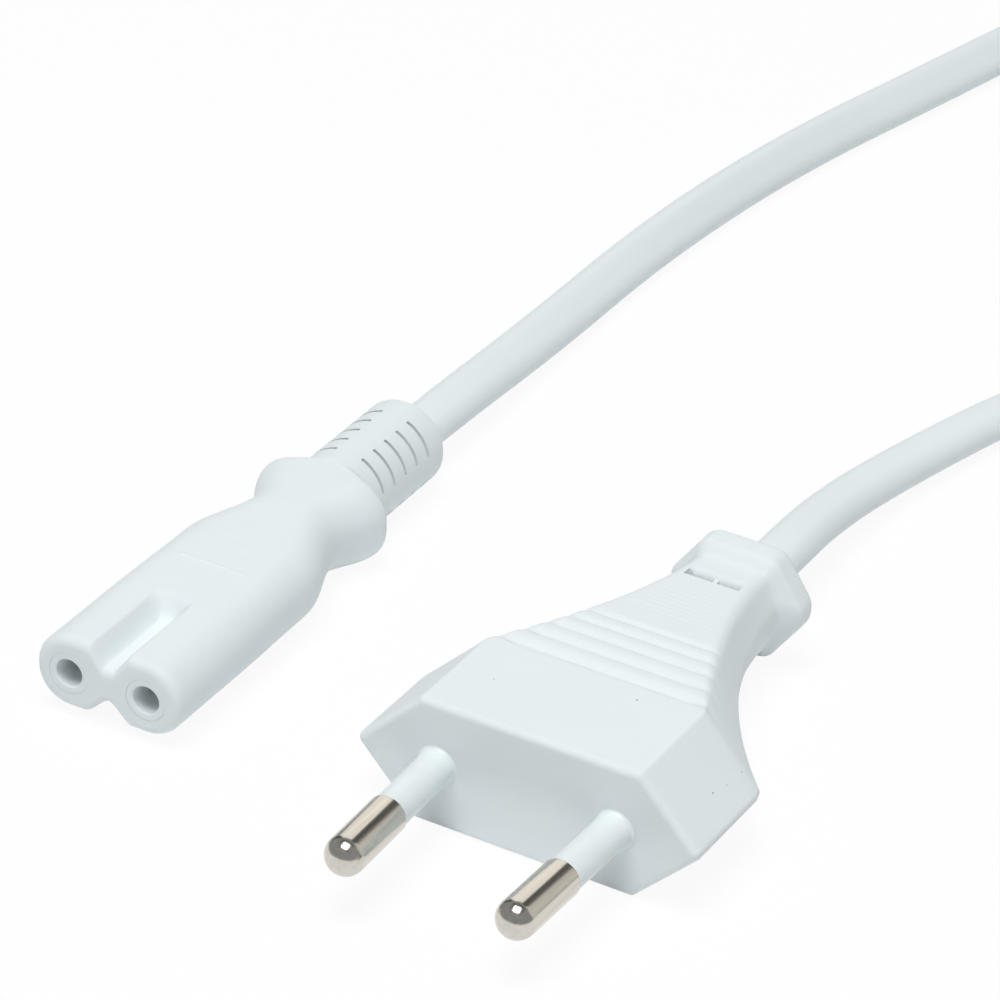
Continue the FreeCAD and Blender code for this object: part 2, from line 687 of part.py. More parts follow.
def ovalSection(name, at, width, height):
    """Rounded oblong; its corners, in straight steps, are nearly half its height."""
    steps = int(size("corner_steps"))
    quarter = []
    for step in range(steps + 1):
        turn = math.pi / 2 * step / steps
        quarter.append((
            f"(({width}) / 2 - ({height}) * Sizes.corner_share * {1 - math.cos(turn)})",
            f"(({height}) / 2 - ({height}) * Sizes.corner_share * {1 - math.sin(turn)})",
        ))
    corners = []
    for right, up in ((1, 1), (-1, 1), (-1, -1), (1, -1)):
        ordered = quarter if right * up > 0 else quarter[::-1]
        corners += [(f"{right} * {x}", f"{up} * {y}") for x, y in ordered]
    return outlineSketch(connectorShell, name, [corners], at)


mouth = ovalSection("mouth", "0", "Sizes.mouth_width", "Sizes.mouth_height")
shoulder = ovalSection("shoulder", "Sizes.shoulder_at", "Sizes.shoulder_width", "Sizes.shoulder_height")
grip = [
    ovalSection("grip_front", "Sizes.shoulder_at", "Sizes.shoulder_width", "Sizes.shoulder_height"),
    ovalSection("waist", "Sizes.waist_at", "Sizes.waist_width", "Sizes.waist_height"),
    ovalSection("bulge", "Sizes.bulge_at", "Sizes.bulge_width", "Sizes.bulge_height"),
    ovalSection("grip_back", "Sizes.relief_at", "Sizes.relief_diameter", "Sizes.relief_diameter"),
]
loft(connectorShell, [mouth, shoulder], "lobes")
loft(connectorShell, grip, "grip")
reliefLength = "(Sizes.connector_length - Sizes.relief_at)"
reliefSketch = ovalSection("relief", "Sizes.relief_at", "Sizes.relief_diameter", "Sizes.relief_diameter")
relief = pad(connectorShell, reliefSketch, reliefLength)
backY = size("connector_length")
bevelled = bevelEdges(connectorShell, relief, "relief_bevel", "Sizes.relief_bevel",
                      lambda edge: inPlaneY(edge, backY))
bevelEdges(connectorShell, bevelled, "mouth_bevel", "Sizes.mouth_bevel", lambda edge: inPlaneY(edge, 0))

channelLoops = []
for up in ("", "-"):
    rim = f"{up}(Sizes.mouth_height / 2 + Sizes.channel_depth)"
    floor = f"{up}(Sizes.mouth_height / 2 - Sizes.channel_depth)"
    spread = "(Sizes.channel_width - Sizes.channel_floor / 2)"
    channelLoops.append([
        (f"-{spread}", rim),
        ("-Sizes.channel_floor / 2", floor),
        ("Sizes.channel_floor / 2", floor),
        (spread, rim),
    ])
channelSketch = outlineSketch(connectorShell, "channels", channelLoops, "0", "Sizes.channel_corner")
channels = connectorShell.newObject("PartDesign::Pocket", "channel_pocket")
channels.Profile = channelSketch
channels.setExpression("Length", "Sizes.channel_length")

slotLoops = []
outerReach = "Sizes.relief_diameter"
coreHalf = "(Sizes.slot_core / 2)"
for right in ("", "-"):
    for up in ("", "-"):
        slotLoops.append([
            (f"{right}Sizes.spine_top / 2", f"{up}{outerReach}"),
            (f"{right}Sizes.spine_top / 2", f"{up}{coreHalf}"),
            (f"{right}{coreHalf}", f"{up}Sizes.spine_side / 2"),
            (f"{right}{outerReach}", f"{up}Sizes.spine_side / 2"),
            (f"{right}{outerReach}", f"{up}{outerReach}"),
        ])
slotSketch = outlineSketch(connectorShell, "relief_slot", slotLoops, "Sizes.relief_at + Sizes.slot_start")
slot = connectorShell.newObject("PartDesign::Pocket", "relief_slot_pocket")
slot.Profile = slotSketch
slot.setExpression("Length", "Sizes.slot_width")
slotRow = connectorShell.newObject("PartDesign::LinearPattern", "relief_slot_row")
slotRow.Originals = [slot]
slotRow.Direction = (slotSketch, ["N_Axis"])
slotRow.Reversed = True
slotRow.setExpression("Length", "(Sizes.relief_slots - 1) * Sizes.slot_pitch")
slotRow.setExpression("Occurrences", "Sizes.relief_slots")
connectorShell.Tip = slotRow

wiring = contacts + connectorCores + connectorStrands
connectorInside = fuse("connector_inside", [carrierSolid, connectorRun] + wiring)
connectorBody = cut("connector_body", connectorShell, connectorInside)

# Check every object, then write each sub-part
doc.recompute()
subParts = [plugBody, pinBridge] + pins + sleeves + plugCores + plugStrands
subParts += [connectorBody, carrier] + wiring
subParts += [plugRun, coil, connectorRun]
for item in doc.Objects:
    if "Invalid" in item.State or "Error" in item.State:
        raise RuntimeError(f"{item.Name} failed: {item.State}")
for item in subParts:
    if item.Shape.isNull() or not item.Shape.isValid():
        raise RuntimeError(f"{item.Label} has no valid shape")
os.makedirs("parts", exist_ok=True)
for item in subParts:
    shape = item.Shape
    print(item.Label, len(shape.Solids), "solids", round(shape.Volume, 1), "mm3")
    shape.exportStep(f"parts/{item.Label}.step")
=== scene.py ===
import math
import bmesh
import bpy
import numpy as np
from mathutils import Matrix, Vector


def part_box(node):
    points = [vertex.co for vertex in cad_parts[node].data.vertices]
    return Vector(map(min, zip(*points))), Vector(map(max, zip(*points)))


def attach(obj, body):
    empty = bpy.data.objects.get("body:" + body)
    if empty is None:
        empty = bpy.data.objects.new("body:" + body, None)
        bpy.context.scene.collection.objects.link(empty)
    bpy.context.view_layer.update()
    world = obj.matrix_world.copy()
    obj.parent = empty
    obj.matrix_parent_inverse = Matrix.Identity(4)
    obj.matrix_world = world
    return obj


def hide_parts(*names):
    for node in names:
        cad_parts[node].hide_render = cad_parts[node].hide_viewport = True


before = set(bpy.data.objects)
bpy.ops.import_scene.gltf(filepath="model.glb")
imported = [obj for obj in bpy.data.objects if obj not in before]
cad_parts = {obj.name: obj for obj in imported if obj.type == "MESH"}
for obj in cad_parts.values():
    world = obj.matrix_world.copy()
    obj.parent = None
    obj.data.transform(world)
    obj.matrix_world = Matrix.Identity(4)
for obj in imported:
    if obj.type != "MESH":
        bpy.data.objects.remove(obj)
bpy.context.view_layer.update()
mm = 0.001
nearAxis = 0.02  # mm; turned profiles start and end this close to their axis
scene = bpy.context.scene
print("frame loaded:", len(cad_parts), "nodes")

# the plug's own frame: face at y = 0, pins at z = 0, all in millimetres
plugLow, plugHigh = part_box("plug_body")
plugPlace = Matrix.Translation((0, plugLow.y, (plugLow.z + plugHigh.z) / 2))
connectorPose = {"x": -43.4, "y": -16.5, "height": 4.75, "turn": 0.7}  # its mouth, mm and degrees
connectorPlace = Matrix.Translation(
    (connectorPose["x"] * mm, connectorPose["y"] * mm, connectorPose["height"] * mm)
) @ Matrix.Rotation(math.radians(connectorPose["turn"]), 4, "Z")


# small helpers for curves and meshes
def smooth(low, high, value):
    t = np.clip((value - low) / (high - low), 0, 1)
    return t * t * (3 - 2 * t)


def mix(a, b, share):
    return a + (b - a) * share


def unit(v):
    return v / np.linalg.norm(v)


def cosineTrack(stations, y):
    # flat at every station, one soft swing between two of them
    for (y0, v0), (y1, v1) in zip(stations, stations[1:]):
        if y <= y1:
            return mix(v0, v1, smooth(y0, y1, y))
    return stations[-1][1]


def insetCorners(corners, amount):
    count = len(corners)
    moved = []
    for i in range(count):
        before = unit(corners[i - 1] - corners[i])
        after = unit(corners[(i + 1) % count] - corners[i])
        half = math.acos(np.clip(before @ after, -1, 1)) / 2
        moved.append(corners[i] + unit(before + after) * amount / math.sin(half))
    return moved


def roundedRing(corners, radii, arcSteps, sideSteps):
    # outline with rounded corners, the same number of points whatever its size
    count = len(corners)
    arcs = []
    for i in range(count):
        toBefore = corners[i - 1] - corners[i]
        toAfter = corners[(i + 1) % count] - corners[i]
        limit = 0.49 * min(np.linalg.norm(toBefore), np.linalg.norm(toAfter))
        before, after = unit(toBefore), unit(toAfter)
        half = math.acos(np.clip(before @ after, -1, 1)) / 2
        reach = min(radii[i] / math.tan(half), limit)
        radius = reach * math.tan(half)
        centre = corners[i] + unit(before + after) * radius / math.sin(half)
        start = unit(corners[i] + before * reach - centre)
        end = unit(corners[i] + after * reach - centre)
        sweep = math.acos(np.clip(start @ end, -1, 1))
        arc = []
        for k in range(arcSteps + 1):
            t = k / arcSteps
            blend = start * math.sin((1 - t) * sweep) + end * math.sin(t * sweep)
            arc.append(centre + radius * blend / math.sin(sweep))
        arcs.append(arc)
    ring = []
    for i in range(count):
        ring += arcs[i]
        first, last = arcs[i][-1], arcs[(i + 1) % count][0]
        for k in range(1, sideSteps[i] + 1):
            ring.append(mix(first, last, k / (sideSteps[i] + 1)))
    return np.array(ring)


def shadeMesh(mesh, sharp):
    mesh.shade_smooth()
    mesh.set_sharp_from_angle(angle=math.radians(sharp))


def meshPiece(name, points, faces, place=Matrix.Identity(4), sharp=40):
    mesh = bpy.data.meshes.new(name)
    mesh.from_pydata([place @ (Vector(p) * mm) for p in points], [], faces)
    finishMesh(mesh, sharp)
    piece = bpy.data.objects.new(name, mesh)
    scene.collection.objects.link(piece)
    return piece


def finishMesh(mesh, sharp):
    shape = bmesh.new()
    shape.from_mesh(mesh)
    bmesh.ops.remove_doubles(shape, verts=shape.verts, dist=1e-7)
    bmesh.ops.recalc_face_normals(shape, faces=shape.faces)
    shape.to_mesh(mesh)
    shape.free()
    shadeMesh(mesh, sharp)


def ringFaces(rings, count, closed=False):
    # four-sided faces between each ring and the next
    faces = []
    for j in range(rings if closed else rings - 1):
        after = (j + 1) % rings
        for i in range(count):
            k = (i + 1) % count
            faces.append((j * count + i, j * count + k, after * count + k, after * count + i))
    return faces


def endCaps(rings, count):
    return [tuple(range(count))[::-1], tuple(range((rings - 1) * count, rings * count))]


def skinRings(name, rings, place, sharp=40):
    # closed skin through rings of 3-D points, with a flat cap at each end
    count = len(rings[0])
    points = [p for ring in rings for p in ring]
    faces = ringFaces(len(rings), count) + endCaps(len(rings), count)
    return meshPiece(name, points, faces, place, sharp)


def lathe(name, profile, place, steps=72, sharp=40):
    # turned about the local Y axis; the profile is (radius, y), and a closed one gets no caps
    turns = np.linspace(0, 2 * math.pi, steps, endpoint=False)
    points = [(radius * math.cos(t), y, radius * math.sin(t)) for radius, y in profile for t in turns]
    faces = ringFaces(len(profile), steps)
    if profile[0] != profile[-1]:
        faces += endCaps(len(profile), steps)
    return meshPiece(name, points, faces, place, sharp)


def bakeModifiers(piece, sharp=40):
    graph = bpy.context.evaluated_depsgraph_get()
    mesh = bpy.data.meshes.new_from_object(piece.evaluated_get(graph))
    piece.modifiers.clear()
    old = piece.data
    piece.data = mesh
    bpy.data.meshes.remove(old)
    shadeMesh(mesh, sharp)


def carve(piece, cutters, sharp=40):
    for cutter in cutters:
        cut = piece.modifiers.new("cut", "BOOLEAN")
        cut.operation = "DIFFERENCE"
        cut.solver = "EXACT"
        cut.object = cutter
    bakeModifiers(piece, sharp)
    for cutter in cutters:
        bpy.data.objects.remove(cutter)


def arcPoints(centre, radius, first, last, steps):
    # points of a flat arc, angles in degrees
    turns = np.radians(np.linspace(first, last, steps))
    return [(centre[0] + radius * math.cos(t), centre[1] + radius * math.sin(t)) for t in turns]


# materials
def newMaterial(name, settings):
    material = bpy.data.materials.new(name)
    material.use_nodes = True
    tree = material.node_tree
    shader = tree.nodes["Principled BSDF"]
    for socket, value in settings.items():
        shader.inputs[socket].default_value = value
    return material, tree, shader


def addNode(tree, kind, values=None, **settings):
    node = tree.nodes.new(kind)
    for key, value in settings.items():
        setattr(node, key, value)
    for socket, value in (values or {}).items():
        node.inputs[socket].default_value = value
    return node


def objectNoise(tree, scale, detail=3, stretch=(1, 1, 1)):
    place = addNode(tree, "ShaderNodeTexCoord")
    mapping = addNode(tree, "ShaderNodeMapping", {"Scale": stretch})
    noise = addNode(tree, "ShaderNodeTexNoise", {"Scale": scale, "Detail": detail})
    tree.links.new(place.outputs["Object"], mapping.inputs["Vector"])
    tree.links.new(mapping.outputs["Vector"], noise.inputs["Vector"])
    return noise


def ramp(tree, source, stops):
    node = addNode(tree, "ShaderNodeValToRGB")
    for stop, (position, colour) in zip(node.color_ramp.elements, stops):
        stop.position = position
        stop.color = colour
    tree.links.new(source, node.inputs["Fac"])
    return node


def roughnessFrom(tree, shader, source, low, high):
    spread = addNode(tree, "ShaderNodeMapRange", {"To Min": low, "To Max": high})
    tree.links.new(source, spread.inputs["Value"])
    tree.links.new(spread.outputs["Result"], shader.inputs["Roughness"])


def bumpFrom(tree, shader, source, strength, distance):
    bump = addNode(tree, "ShaderNodeBump", {"Strength": strength, "Distance": distance})
    tree.links.new(source, bump.inputs["Height"])
    tree.links.new(bump.outputs["Normal"], shader.inputs["Normal"])


def tint(colour, factor):
    return tuple(c * factor for c in colour) + (1,)


mouldedLook = {
    "colour": (0.80, 0.855, 0.865), "pale": 0.985, "patch": 55, "grain": 2600, "bump": 0.12, "bumpDepth": 0.00004,
    "roughness": (0.55, 0.65), "gloss": 0.34, "speckCore": 0.4, "speckTint": 0.45,
}
specks = [  # small dark marks on the plug, place and size in mm
    ((5.29, -2.24, 13.4), 0.17), ((-7.4, -6.58, 13.4), 0.1), ((15.63, -6.28, 9.24), 0.15),
    ((15.91, -3.99, 8.96), 0.09), ((16.01, -1.14, 8.86), 0.11),
]


def speckShare(tree):
    place = addNode(tree, "ShaderNodeTexCoord")
    share = None
    for spot, size in specks:
        away = addNode(tree, "ShaderNodeVectorMath", {1: [v * mm for v in spot]}, operation="DISTANCE")
        tree.links.new(place.outputs["Object"], away.inputs[0])
        fade = {"From Min": size * mm, "From Max": size * mm * mouldedLook["speckCore"]}
        dark = addNode(tree, "ShaderNodeMapRange", fade)
        tree.links.new(away.outputs["Value"], dark.inputs["Value"])
        here = dark.outputs["Result"]
        if share:
            both = addNode(tree, "ShaderNodeMath", operation="MAXIMUM")
            tree.links.new(share, both.inputs[0])
            tree.links.new(here, both.inputs[1])
            here = both.outputs["Value"]
        share = here
    return share


def mouldedPlastic(name, look, marked=False):
    # soft moulding: faint cloudy patches and fine mould grain
    material, tree, shader = newMaterial(name, {"Specular IOR Level": look["gloss"]})
    cloud = objectNoise(tree, look["patch"])
    stops = [(0.35, tint(look["colour"], look["pale"])), (0.65, tint(look["colour"], 1.0))]
    colours = ramp(tree, cloud.outputs["Fac"], stops)
    base = colours.outputs["Color"]
    if marked:
        dust = addNode(tree, "ShaderNodeMix", data_type="RGBA")
        dust.inputs["B"].default_value = tint(look["colour"], look["speckTint"])
        tree.links.new(speckShare(tree), dust.inputs["Factor"])
        tree.links.new(base, dust.inputs["A"])
        base = dust.outputs["Result"]
    tree.links.new(base, shader.inputs["Base Color"])
    grain = objectNoise(tree, look["grain"], 2)
    roughnessFrom(tree, shader, grain.outputs["Fac"], *look["roughness"])
    bumpFrom(tree, shader, grain.outputs["Fac"], look["bump"], look["bumpDepth"])
    return material


sleeveLook = {
    "colour": (0.80, 0.86, 0.865), "pale": 0.98, "dent": 420, "bump": 0.3, "bumpDepth": 0.00025,
    "roughness": (0.28, 0.4), "gloss": 0.5,
}


def sleevePlastic(name, look):
    # thin glossy sleeve with slight dents
    material, tree, shader = newMaterial(name, {"Specular IOR Level": look["gloss"]})
    dents = objectNoise(tree, look["dent"], 2)
    stops = [(0.3, tint(look["colour"], look["pale"])), (0.7, tint(look["colour"], 1.0))]
    colours = ramp(tree, dents.outputs["Fac"], stops)
    tree.links.new(colours.outputs["Color"], shader.inputs["Base Color"])
    roughnessFrom(tree, shader, dents.outputs["Fac"], *look["roughness"])
    bumpFrom(tree, shader, dents.outputs["Fac"], look["bump"], look["bumpDepth"])
    return material


metalLooks = {
    "brightNickel": {
        "colour": (0.66, 0.63, 0.57), "stretch": (1, 0.04, 1), "scratch": 2200, "roughness": (0.14, 0.24)},
    "rolledBrass": {
        "colour": (0.74, 0.56, 0.28), "stretch": (1, 0.1, 1), "scratch": 1500, "roughness": (0.25, 0.4)},
    "bareCopper": {
        "colour": (0.78, 0.42, 0.27), "stretch": (1, 0.06, 1), "scratch": 2600, "roughness": (0.3, 0.45)},
}
metalShades = {"dark": 0.9, "bright": 1.04, "bump": 0.05, "bumpDepth": 0.00003}


def drawnMetal(name, look):
    # metal with fine drawing lines along its length
    material, tree, shader = newMaterial(name, {"Metallic": 1.0})
    lines = objectNoise(tree, look["scratch"], 3, look["stretch"])
    stops = [(0.3, tint(look["colour"], metalShades["dark"])), (0.7, tint(look["colour"], metalShades["bright"]))]
    colours = ramp(tree, lines.outputs["Fac"], stops)
    tree.links.new(colours.outputs["Color"], shader.inputs["Base Color"])
    roughnessFrom(tree, shader, lines.outputs["Fac"], *look["roughness"])
    bumpFrom(tree, shader, lines.outputs["Fac"], metalShades["bump"], metalShades["bumpDepth"])
    return material


whitePvc = mouldedPlastic("whitePvc", mouldedLook, marked=True)
sheathLook = dict(mouldedLook, patch=40, roughness=(0.52, 0.56), grain=1800, bump=0.08)
cordSheath = mouldedPlastic("cordSheath", sheathLook)
carrierLook = dict(mouldedLook, colour=(0.76, 0.8, 0.8), roughness=(0.35, 0.5))
carrierPlastic = mouldedPlastic("carrierPlastic", carrierLook)
brownLook = dict(mouldedLook, colour=(0.2, 0.085, 0.035), roughness=(0.3, 0.42))
coreBrown = mouldedPlastic("coreBrown", brownLook)
blueLook = dict(mouldedLook, colour=(0.03, 0.11, 0.42), roughness=(0.3, 0.42))
coreBlue = mouldedPlastic("coreBlue", blueLook)
sleeveWhite = sleevePlastic("sleeveWhite", sleeveLook)
brightNickel = drawnMetal("brightNickel", metalLooks["brightNickel"])
rolledBrass = drawnMetal("rolledBrass", metalLooks["rolledBrass"])
bareCopper = drawnMetal("bareCopper", metalLooks["bareCopper"])
print("materials made:", len(bpy.data.materials))


def dress(piece, material):
    piece.data.materials.clear()
    piece.data.materials.append(material)
    return piece


def standFor(piece, material, slot, *nodes):
    dress(piece, material)
    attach(piece, "root")
    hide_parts(*nodes)
    return piece


# plug moulding
plug = {
    "faceFlat": 23.0, "width": 35.66, "height": 13.4, "prism": 12.6, "length": 45.4, "faceRound": 0.7,
    "neckFlat": 7.2, "neckWidth": 10.4, "neckHeight": 9.0, "flatCurve": 1.6, "sideCurve": 2.05,
    "edge": 0.5, "sideEdge": 0.7, "ribEdge": 1.3, "neckEdge": 1.4, "neckSide": 3.2,
    "sideFlat": 0.33, "neckSideFlat": 1.2,
    "collarFlat": 7.8, "collarWidth": 14.5, "collarHeight": 11.3, "collarThick": 4.0,
    "collarEdge": 1.8, "collarSide": 2.2, "collarSideFlat": 0.9, "collarLead": 0.7, "collarRise": 1.9,
    "collarRound": 1.2,
    "ribs": 5, "ribStart": 14.2, "ribPitch": 2.8, "ribShrink": 0.91, "ribDepth": 0.52, "ribFade": 0.84,
    "ribWidth": 2.1, "ribSharp": 1.5, "ribEnd": 0.7, "ribEdgeBy": 0.16,
    "ribOver": (2.2, 0.5), "ribReach": (1.6, 0.4),  # where a groove fades down the side and at its ends
    "lineStart": 27.0, "linePitch": 0.8, "lineDepth": 0.03, "lineEnd": 34.5,
    "windowWidth": 2.25, "windowWeb": 0.45, "windowAt": 36.3, "windowGap": 1.35, "windowDepth": 1.9,
    "windowBend": 0.88, "webDepth": 0.4, "windowLift": 0.02, "windowClear": 1.5,
    "windowEnds": [(0.5, 0.02), (0.3, 0.3), (0.1, 0.75), (-0.1, 1.0)],  # reach past the end, share of the depth
    "fineStep": 0.13,
}


def plugNeck(y):
    # half sizes of the six-sided section: flat, side, height, with the radii of its edges
    share = np.clip((y - plug["prism"]) / (plug["length"] - plug["collarThick"] - plug["prism"]), 0, 1)
    flat = mix(plug["neckFlat"], plug["faceFlat"], (1 - share) ** plug["flatCurve"]) / 2
    side = mix(plug["neckWidth"], plug["width"], (1 - share) ** plug["sideCurve"]) / 2
    high = mix(plug["height"], plug["neckHeight"], share) / 2
    early = mix(plug["edge"], plug["ribEdge"], smooth(0, plug["ribEdgeBy"], share))
    topRound = mix(early, plug["neckEdge"], share)
    sideRound = mix(plug["sideEdge"], plug["neckSide"], smooth(0, 1, share))
    sideFlat = mix(plug["sideFlat"], plug["neckSideFlat"], share)
    return np.array([flat, side, high, sideFlat, topRound, sideRound])


def plugCollar():
    sizes = [plug[key] / 2 for key in ("collarFlat", "collarWidth", "collarHeight")]
    return np.array(sizes + [plug["collarSideFlat"], plug["collarEdge"], plug["collarSide"]])


def grooveDepth(y):
    depth, at, pitch, total = plug["ribDepth"], plug["ribStart"], plug["ribPitch"], 0.0
    for rib in range(plug["ribs"]):
        half = plug["ribWidth"] / 2 * pitch / plug["ribPitch"]
        if abs(y - at) < half:
            total = depth * math.cos((y - at) / half * math.pi / 2) ** plug["ribSharp"]
        at, pitch, depth = at + pitch, pitch * plug["ribShrink"], depth * plug["ribFade"]
    if plug["lineStart"] < y < plug["lineEnd"]:
        total += plug["lineDepth"] * math.sin((y - plug["lineStart"]) / plug["linePitch"] * math.pi) ** 2
    return total


def plugRing(y, inset=0.0):
    rise = plug["length"] - plug["collarThick"] - plug["collarLead"]
    swell = smooth(rise, rise + plug["collarRise"], y)
    flat, side, high, sideFlat, topRound, sideRound = mix(plugNeck(y), plugCollar(), swell)
    quarter = [(side, sideFlat), (flat, high), (-flat, high), (-side, sideFlat)]
    corners = [np.array(c) for c in quarter + [(-x, -z) for x, z in quarter]]
    radii = [sideRound, topRound, topRound, sideRound] * 2
    if inset:
        corners = insetCorners(corners, inset)
        radii = [max(r - inset * 0.5, 0.15) for r in radii]
    ring = roundedRing(corners, radii, 8, [24, 14, 24, 2] * 2)
    groove = grooveDepth(y)
    if groove:
        (low, top), (start, end) = plug["ribOver"], plug["ribReach"]
        over = smooth(high - low, high - top, np.abs(ring[:, 1]))
        ends = 1 - plug["ribEnd"] * smooth(flat - start, flat + end, np.abs(ring[:, 0]))
        ring[:, 1] -= np.sign(ring[:, 1]) * groove * over * ends
    return [(x, y, z) for x, z in ring]


def makePlugMoulding():
    roundness = plug["faceRound"]
    rings = [plugRing(0, roundness + 0.1)]
    for turn in np.radians(np.linspace(90, 0, 7)):
        ring = plugRing(0, roundness * (1 - math.cos(turn)))
        rings.append([(x, roundness * (1 - math.sin(turn)), z) for x, y, z in ring])
    fine = np.arange(plug["ribStart"] - 1.2, plug["lineEnd"] + 0.2, plug["fineStep"])
    collarAt = plug["length"] - plug["collarThick"]
    stations = list(np.linspace(0.9, fine[0] - 0.15, 14)) + list(fine)
    stations += list(np.linspace(fine[-1] + 0.3, collarAt - 0.9, 30))
    back = plug["length"] - plug["collarRound"]
    stations += list(np.arange(collarAt - plug["collarLead"], collarAt + 1.7, plug["fineStep"]))
    stations += [back - 0.5, back]
    rings += [plugRing(y) for y in stations]
    for turn in np.radians(np.linspace(0, 90, 8))[1:]:
        ring = plugRing(back, plug["collarRound"] * (1 - math.cos(turn)))
        rings.append([(x, back + plug["collarRound"] * math.sin(turn), z) for x, y, z in ring])
    rings.append([(x, plug["length"], z) for x, y, z in plugRing(back, plug["collarRound"] + 0.3)])
    return skinRings("plugMoulding", rings, plugPlace, 50)


def windowOutline(depth):
    # front wall, floor, and a back wall that rounds over to the top of the neck
    front, bend = plug["windowAt"], plug["windowBend"]
    gap = front + plug["windowGap"]
    surface = plugNeck(gap + bend)[2] + plug["windowLift"]
    above = surface + plug["windowClear"]
    first = 180 - math.degrees(math.asin(max(bend - depth, 0) / bend))
    outline = [(front, above), (front, surface - depth)]
    if depth > bend:
        outline.append((gap, surface - depth))
    outline += arcPoints((gap + bend, surface - bend), bend, first, 92, 12) + [(gap + bend, above)]
    return outline, surface


def sloped(z, surface, share):
    # what lies under the surface goes down by its share only
    return z if z > surface else surface - (surface - z) * share


def windowCutters():
    # a shallow hollow across the neck with two deep windows in it; the outer ends run out in a slope
    cutters = []
    near, far = plug["windowWeb"] / 2, plug["windowWeb"] / 2 + plug["windowWidth"]
    outEnd = [(far + over, share) for over, share in plug["windowEnds"]]
    across = [(-x, share) for x, share in outEnd] + outEnd[::-1]
    right = outEnd + [(near, 1.0)]
    left = [(-x, share) for x, share in right]
    for depth, steps in ((plug["webDepth"], across), (plug["windowDepth"], right), (plug["windowDepth"], left)):
        outline, surface = windowOutline(depth)
        for up in (1, -1):
            rings = [[(x, y, up * sloped(z, surface, share)) for y, z in outline] for x, share in steps]
            cutters.append(skinRings("windowCutter", rings, plugPlace))
    return cutters


plugMoulding = makePlugMoulding()
carve(plugMoulding, windowCutters(), 50)
standFor(plugMoulding, whitePvc, "white_pvc", "plug_body")
print("plug moulding:", len(plugMoulding.data.polygons), "faces")

# pins and sleeves, turned about their own leaning axes
pin = {
    "length": 19.0, "radius": 2.0, "tipRound": 1.9, "spread": 18.6, "tipSpread": 17.5, "lip": 0.12, "shank": 1.4,
    "back": 14.1, "crimpBore": 0.65, "crimpDepth": 4.0, "sleeve": 9.4, "sleeveRadius": 1.83, "sleeveEdge": 0.1,
    "root": 3.0, "flare": 0.35, "flareStretch": 1.6, "flareFrom": 2.5,
}


def pinPlace(side):
    lean = math.atan((pin["spread"] - pin["tipSpread"]) / 2 / pin["length"])
    root = Matrix.Translation((side * pin["spread"] / 2 * mm, 0, 0))
    return plugPlace @ root @ Matrix.Rotation(-side * lean, 4, "Z")


def makePin(name, side):
    tip, neck, back = -pin["length"], -pin["sleeve"], pin["back"]
    radius, tipRound, lip = pin["radius"], pin["tipRound"], pin["lip"]
    profile = [(nearAxis, tip), (radius - tipRound, tip)]
    profile += arcPoints((radius - tipRound, tip + tipRound), tipRound, -84, 0, 14)
    profile += [(radius, neck - lip - 0.1)]
    profile += arcPoints((radius - lip, neck - lip), lip, 0, 90, 5)
    profile += [(pin["shank"], neck), (pin["shank"], back)]
    profile += [(pin["crimpBore"], back), (pin["crimpBore"], back - pin["crimpDepth"])]
    return lathe(name, profile, pinPlace(side), 80)


def makeSleeve(name, side):
    front, outer, shank, edge = -pin["sleeve"], pin["sleeveRadius"], pin["shank"], pin["sleeveEdge"]
    flare, stretch = pin["flare"], pin["flareStretch"]
    profile = [(shank, front), (outer - edge, front)]
    profile += arcPoints((outer - edge, front + edge), edge, -75, 0, 4) + [(outer, -pin["flareFrom"])]
    for turn in np.linspace(0, math.pi / 2, 7):
        profile.append((outer + flare * (1 - math.cos(turn)), -flare * stretch + stretch * flare * math.sin(turn)))
    profile += [(outer, 0.3), (outer, pin["root"]), (shank, pin["root"]), (shank, front)]
    return lathe(name, profile, pinPlace(side), 80)


for label, side in (("left", -1), ("right", 1)):
    standFor(makePin(f"pin{label.title()}", side), brightNickel, "nickel", f"pin_{label}")
    standFor(makeSleeve(f"sleeve{label.title()}", side), sleeveWhite, "sleeve_plastic", f"sleeve_{label}")
print("pins and sleeves turned")

# connector moulding
connector = {
    "length": 57.4, "reliefAt": 42.4,
    "halfWidth": [(0, 8.1), (10, 8.05), (24.9, 7.75), (34.2, 5.25), (40.2, 7.4), (42.4, 4.75)],
    "halfHeight": [(0, 3.9), (26.0, 4.1), (34.2, 4.35), (40.2, 4.55), (42.4, 4.75)],
    "corner": [(0, 3.8), (26.0, 3.7), (34.2, 3.9), (40.2, 4.1), (42.4, 4.72)],
    "mouthRound": 1.0, "reliefEnd": [(0.12, 0.03), (0.25, 0.12), (0.36, 0.28), (0.9, 2.0)],
    "channelFloor": 0.45, "channelRim": 2.35, "channelDepth": 2.1, "channelLength": 12.6, "channelEnd": 2.6,
    "channelStep": 0.2, "channelSlope": 1.5, "notchRim": 2.8, "notchDepth": 1.9,
    "lineAt": 19.0, "lineHalf": 3.9, "lineEase": 0.3, "lineWidth": 0.3, "lineHeight": 0.15,
    "gripStart": 21.2, "gripEnd": 33.2, "gripPitch": 2.0, "gripDepth": 0.05, "gripHalf": 3.6, "gripEase": 1.5,
    "holePitch": 8.6, "nose": 2.2, "tube": 2.8, "cover": 1.2, "carrierBack": 19.0, "seatLead": 0.6,
}


